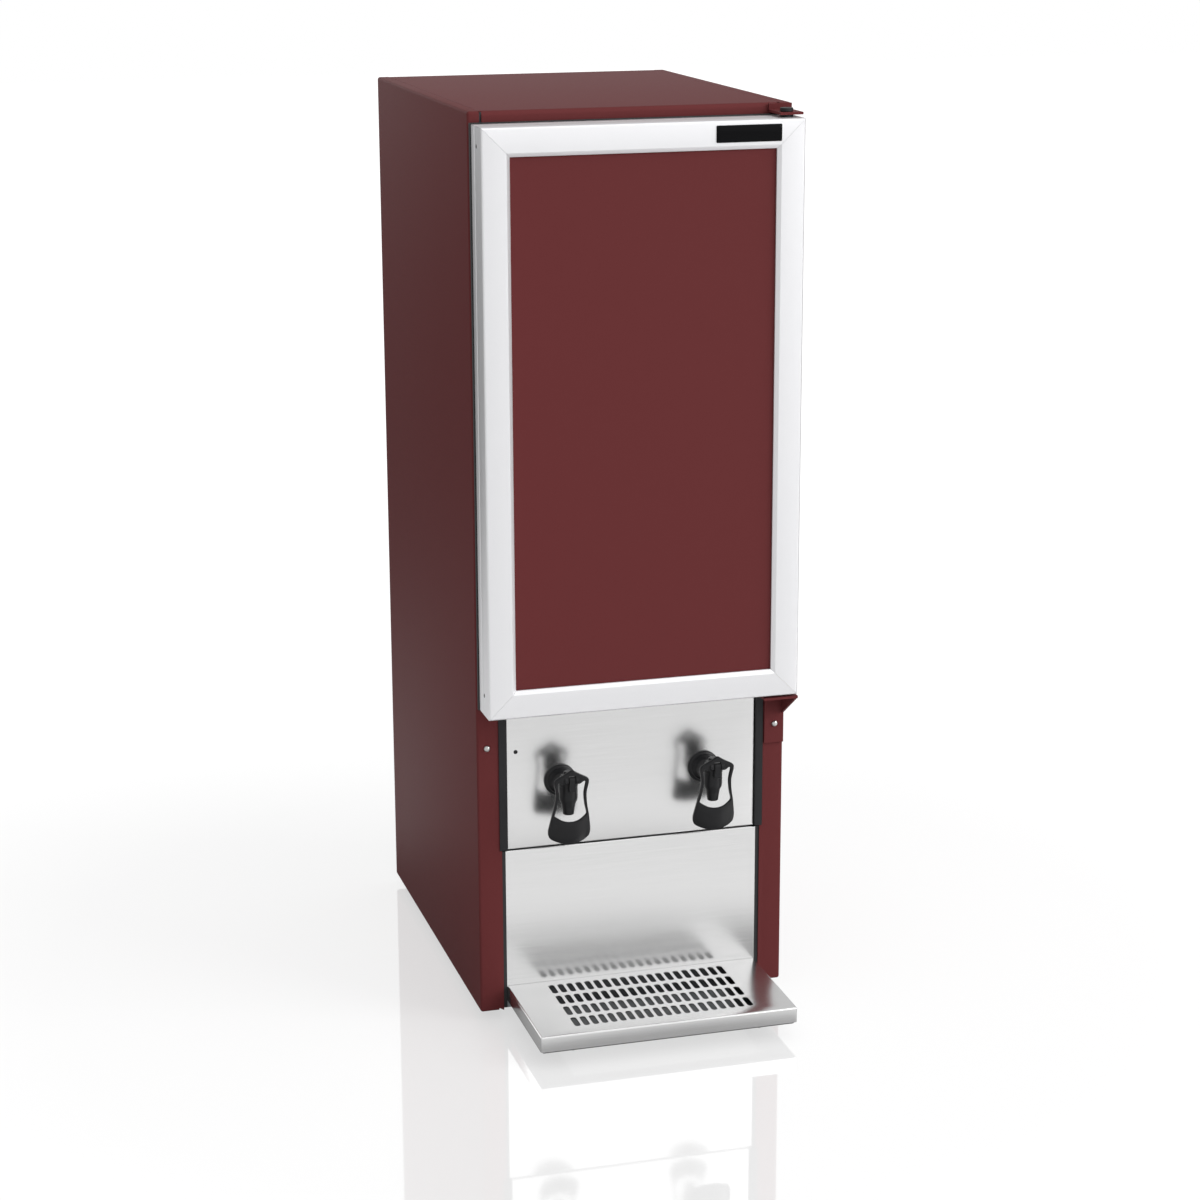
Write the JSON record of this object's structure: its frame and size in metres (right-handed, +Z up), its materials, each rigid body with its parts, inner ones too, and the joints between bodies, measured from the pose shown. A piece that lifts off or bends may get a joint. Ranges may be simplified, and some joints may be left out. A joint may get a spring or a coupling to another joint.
{
  "type": "wine dispenser",
  "caption": "tall narrow refrigerated wine dispenser with a hinged door over push-lever taps, a steel splash panel and a drip tray",
  "frame": {"origin": "on the floor plane under the middle of the bounding box", "axes": "+Z up, -Y toward the user (taps, door front and tray), +X toward the door's hinges, the user's right"},
  "size_m": [0.33, 0.566, 0.942],
  "materials": {
    "painted_steel": "semi-gloss wine red paint on folded steel sheet",
    "galvanised_steel": "zinc-plated steel",
    "black_enamel": "black enamel on steel",
    "rubber": "matt dark rubber",
    "foam": "rigid foamed-in-place insulation",
    "stainless_steel": "brushed stainless steel",
    "black_plastic": "black moulded plastic with a soft sheen",
    "white_plastic": "white moulded plastic",
    "fin_aluminium": "bare aluminium fins",
    "frame_aluminium": "satin anodised aluminium section",
    "clear_plastic": "food-grade hose, nearly clear",
    "plate_black": "blank black plate"
  },
  "bodies": {
    "cabinet": {"side_panel_left": "painted_steel", "side_panel_right": "painted_steel", "top_panel": "painted_steel", "back_panel": "galvanised_steel", "rear_grille": "black_enamel", "base_pan": "galvanised_steel", "foot_front_left": "rubber", "foot_front_right": "rubber", "foot_rear_left": "rubber", "foot_rear_right": "rubber", "insulation_foam": "foam", "tap_panel": "stainless_steel", "splash_panel": "stainless_steel", "trim_strip_left": "black_plastic", "trim_strip_right": "black_plastic", "tray_support": "stainless_steel", "lower_hinge_bracket": "painted_steel", "upper_hinge_bracket": "painted_steel", "lower_hinge_pin": "galvanised_steel", "upper_hinge_pin": "galvanised_steel", "flange_screw_left": "stainless_steel", "flange_screw_right": "stainless_steel", "inner_liner": "white_plastic", "shelf": "stainless_steel", "evaporator_cover": "white_plastic", "evaporator": "fin_aluminium", "evaporator_fan_motor": "black_enamel", "compressor": "black_enamel", "condenser": "fin_aluminium", "condenser_fan_motor": "black_enamel", "condensate_pan": "black_plastic", "electrical_box": "black_plastic", "tap_body_left": "black_plastic", "tap_bonnet_left": "black_plastic", "tap_spring_left": "stainless_steel", "wine_hose_left": "clear_plastic", "bag_connector_left": "white_plastic", "tap_body_right": "black_plastic", "tap_bonnet_right": "black_plastic", "tap_spring_right": "stainless_steel", "wine_hose_right": "clear_plastic", "bag_connector_right": "white_plastic"},
    "door": {"door_stile_left": "frame_aluminium", "door_stile_right": "frame_aluminium", "door_rail_bottom": "frame_aluminium", "door_rail_top": "frame_aluminium", "door_panel": "painted_steel", "door_foam": "foam", "door_liner": "white_plastic", "door_gasket": "rubber", "name_plate": "plate_black"},
    "tap_stem_left": {"tap_stem_left": "black_plastic"},
    "tap_lever_left": {"tap_lever_left": "black_plastic"},
    "tap_stem_right": {"tap_stem_right": "black_plastic"},
    "tap_lever_right": {"tap_lever_right": "black_plastic"},
    "evaporator_fan": {"evaporator_fan": "black_plastic"},
    "condenser_fan": {"condenser_fan": "black_plastic"},
    "thermostat_knob": {"thermostat_knob": "black_plastic"},
    "drip_tray": {"drip_tray": "stainless_steel"},
    "drip_grille": {"drip_grille": "stainless_steel"}
  },
  "joints": [
    {"name": "door_hinge", "type": "hinge", "parent": "cabinet", "child": "door", "pos_m": [0.15, -0.174, 0.63725], "axis": [0, 0, 1], "range_deg": [0, 115]},
    {"name": "tap_lever_left_push", "type": "hinge", "parent": "cabinet", "child": "tap_lever_left", "pos_m": [-0.0775, -0.191, 0.272], "axis": [1, 0, 0], "range_deg": [0, 15], "stiffness_Nm_per_rad": 0.4, "springref_deg": -5.73},
    {"name": "tap_stem_left_lift", "type": "slide", "parent": "cabinet", "child": "tap_stem_left", "axis": [0, 0, 1], "range_m": [0, 0.0036], "stiffness_N_per_m": 0.02, "springref_m": 0.19, "deforming": ["tap_spring_left"]},
    {"name": "tap_lever_right_push", "type": "hinge", "parent": "cabinet", "child": "tap_lever_right", "pos_m": [0.0775, -0.191, 0.272], "axis": [1, 0, 0], "range_deg": [0, 15], "stiffness_Nm_per_rad": 0.4, "springref_deg": -5.73},
    {"name": "tap_stem_right_lift", "type": "slide", "parent": "cabinet", "child": "tap_stem_right", "axis": [0, 0, 1], "range_m": [0, 0.0036], "stiffness_N_per_m": 0.02, "springref_m": 0.19, "deforming": ["tap_spring_right"]},
    {"name": "drip_tray_slide", "type": "slide", "parent": "cabinet", "child": "drip_tray", "axis": [0, -1, 0], "range_m": [0, 0.1]},
    {"name": "drip_grille_lift", "type": "slide", "parent": "drip_tray", "child": "drip_grille", "axis": [0, 0, 1], "range_m": [0, 0.05]},
    {"name": "evaporator_fan_spin", "type": "hinge", "parent": "cabinet", "child": "evaporator_fan", "pos_m": [0, 0.214, 0.85], "axis": [0, 1, 0], "continuous": true},
    {"name": "condenser_fan_spin", "type": "hinge", "parent": "cabinet", "child": "condenser_fan", "pos_m": [0.088, 0.2264, 0.116], "axis": [0, 1, 0], "continuous": true},
    {"name": "thermostat_turn", "type": "hinge", "parent": "cabinet", "child": "thermostat_knob", "pos_m": [-0.082, 0.1987, 0.7407], "axis": [0, -1, 0], "range_deg": [0, 270]}
  ],
  "couplings": [
    {"joint": "tap_stem_left_lift", "follows": "tap_lever_left_push", "m_per_rad": 0.013},
    {"joint": "tap_stem_right_lift", "follows": "tap_lever_right_push", "m_per_rad": 0.013}
  ]
}
